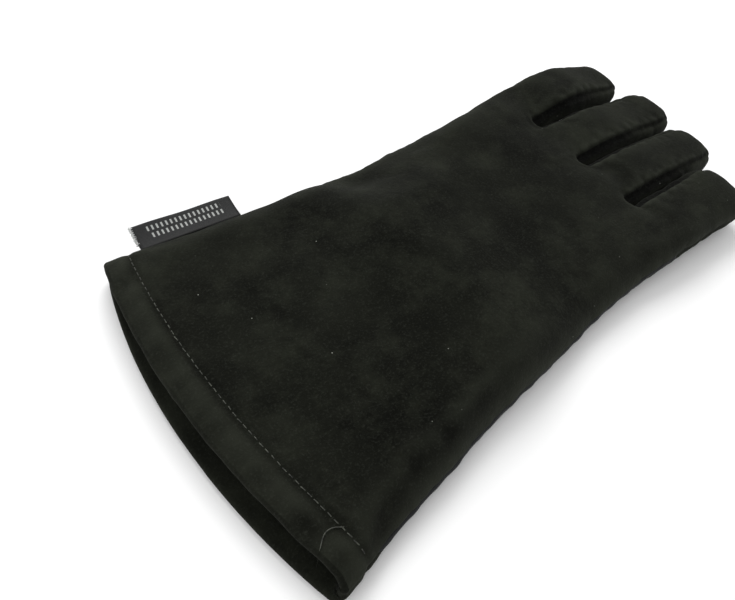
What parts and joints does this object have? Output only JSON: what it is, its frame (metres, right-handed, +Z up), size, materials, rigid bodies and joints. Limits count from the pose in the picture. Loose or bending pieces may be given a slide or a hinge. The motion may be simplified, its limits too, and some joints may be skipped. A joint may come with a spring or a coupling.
{
  "type": "heat resistant glove",
  "caption": "Right-hand suede leather gauntlet for outdoor cooking, lying palm down with its thumb folded under, flared cuff, bending fingers, thumb and wrist.",
  "frame": {"origin": "centre of the bounding box's underside, on the surface the glove lies on", "axes": "+X from the cuff mouth to the fingertips, +Y to the thumb side, +Z up, through the back of the hand"},
  "size_m": [0.36, 0.2134, 0.0391],
  "materials": {
    "suede": "matte suede split leather",
    "smooth_leather": "smooth matte leather",
    "cotton": "brushed cotton",
    "thread": "twisted thread",
    "woven": "tight woven tape"
  },
  "bodies": {
    "cuff": {"cuff_back_panel": "suede", "cuff_palm_panel": "suede", "wrist_palm_band": "smooth_leather", "cuff_hem_turn_in": "suede", "hem_stitching": "thread", "cuff_lining": "cotton", "cuff_side_welts": "smooth_leather"},
    "label": {"loop_label": "woven"},
    "hand": {"hand_back_panel": "suede", "hand_palm_panel": "suede", "hand_lining": "cotton", "hand_side_welts": "smooth_leather", "finger_crotch_webs": "suede", "thumb_hole_welt": "smooth_leather"},
    "index_base": {"index_base_back": "suede", "index_base_palm": "suede", "index_base_fourchette": "suede", "index_base_lining": "cotton"},
    "index_tip": {"index_tip_back": "suede", "index_tip_palm": "suede", "index_tip_fourchette": "suede", "index_tip_lining": "cotton"},
    "middle_base": {"middle_base_back": "suede", "middle_base_palm": "suede", "middle_base_fourchettes": "suede", "middle_base_lining": "cotton"},
    "middle_tip": {"middle_tip_back": "suede", "middle_tip_palm": "suede", "middle_tip_fourchettes": "suede", "middle_tip_lining": "cotton"},
    "ring_base": {"ring_base_back": "suede", "ring_base_palm": "suede", "ring_base_fourchettes": "suede", "ring_base_lining": "cotton"},
    "ring_tip": {"ring_tip_back": "suede", "ring_tip_palm": "suede", "ring_tip_fourchettes": "suede", "ring_tip_lining": "cotton"},
    "little_base": {"little_base_back": "suede", "little_base_palm": "suede", "little_base_fourchette": "suede", "little_base_lining": "cotton"},
    "little_tip": {"little_tip_back": "suede", "little_tip_palm": "suede", "little_tip_fourchette": "suede", "little_tip_lining": "cotton"},
    "thumb_base": {"thumb_base_back": "suede", "thumb_base_front": "suede", "thumb_base_lining": "cotton"},
    "thumb_tip": {"thumb_tip_back": "suede", "thumb_tip_front": "suede", "thumb_tip_lining": "cotton"}
  },
  "joints": [
    {"name": "wrist_flex", "type": "hinge", "parent": "cuff", "child": "hand", "pos_m": [-0.056, 0.00529, 0.012], "axis": [0, 1, 0], "range_deg": [-30, 30]},
    {"name": "index_knuckle", "type": "hinge", "parent": "hand", "child": "index_base", "pos_m": [0.078, 0.05896, 0.02632], "axis": [0, 0.9947, 0.1033], "range_deg": [-10, 60]},
    {"name": "index_middle_joint", "type": "hinge", "parent": "index_base", "child": "index_tip", "pos_m": [0.123, 0.05896, 0.02632], "axis": [0, 0.9947, 0.1033], "range_deg": [-10, 60]},
    {"name": "middle_knuckle", "type": "hinge", "parent": "hand", "child": "middle_base", "pos_m": [0.078, 0.02216, 0.0225], "axis": [0, 0.9947, 0.1033], "range_deg": [-10, 60]},
    {"name": "middle_middle_joint", "type": "hinge", "parent": "middle_base", "child": "middle_tip", "pos_m": [0.129, 0.02216, 0.0225], "axis": [0, 0.9947, 0.1033], "range_deg": [-10, 60]},
    {"name": "ring_knuckle", "type": "hinge", "parent": "hand", "child": "ring_base", "pos_m": [0.078, -0.01464, 0.01867], "axis": [0, 0.9947, 0.1033], "range_deg": [-10, 60]},
    {"name": "ring_middle_joint", "type": "hinge", "parent": "ring_base", "child": "ring_tip", "pos_m": [0.126, -0.01464, 0.01867], "axis": [0, 0.9947, 0.1033], "range_deg": [-10, 60]},
    {"name": "little_knuckle", "type": "hinge", "parent": "hand", "child": "little_base", "pos_m": [0.078, -0.05145, 0.01485], "axis": [0, 0.9947, 0.1033], "range_deg": [-10, 60]},
    {"name": "little_middle_joint", "type": "hinge", "parent": "little_base", "child": "little_tip", "pos_m": [0.1155, -0.05145, 0.01485], "axis": [0, 0.9947, 0.1033], "range_deg": [-10, 60]},
    {"name": "thumb_swing", "type": "hinge", "parent": "hand", "child": "thumb_base", "pos_m": [-0.03, 0.0507, 0.0139], "axis": [0, -0.1033, 0.9947], "range_deg": [-10, 70]},
    {"name": "thumb_curl", "type": "hinge", "parent": "thumb_base", "child": "thumb_tip", "pos_m": [0.008, 0.05132, 0.00793], "axis": [0, 0.1033, -0.9947], "range_deg": [-10, 50]},
    {"name": "label_flap", "type": "hinge", "parent": "cuff", "child": "label", "pos_m": [-0.13092, 0.09058, 0.01], "axis": [0.997, -0.0775, 0], "range_deg": [-50, 50]}
  ]
}
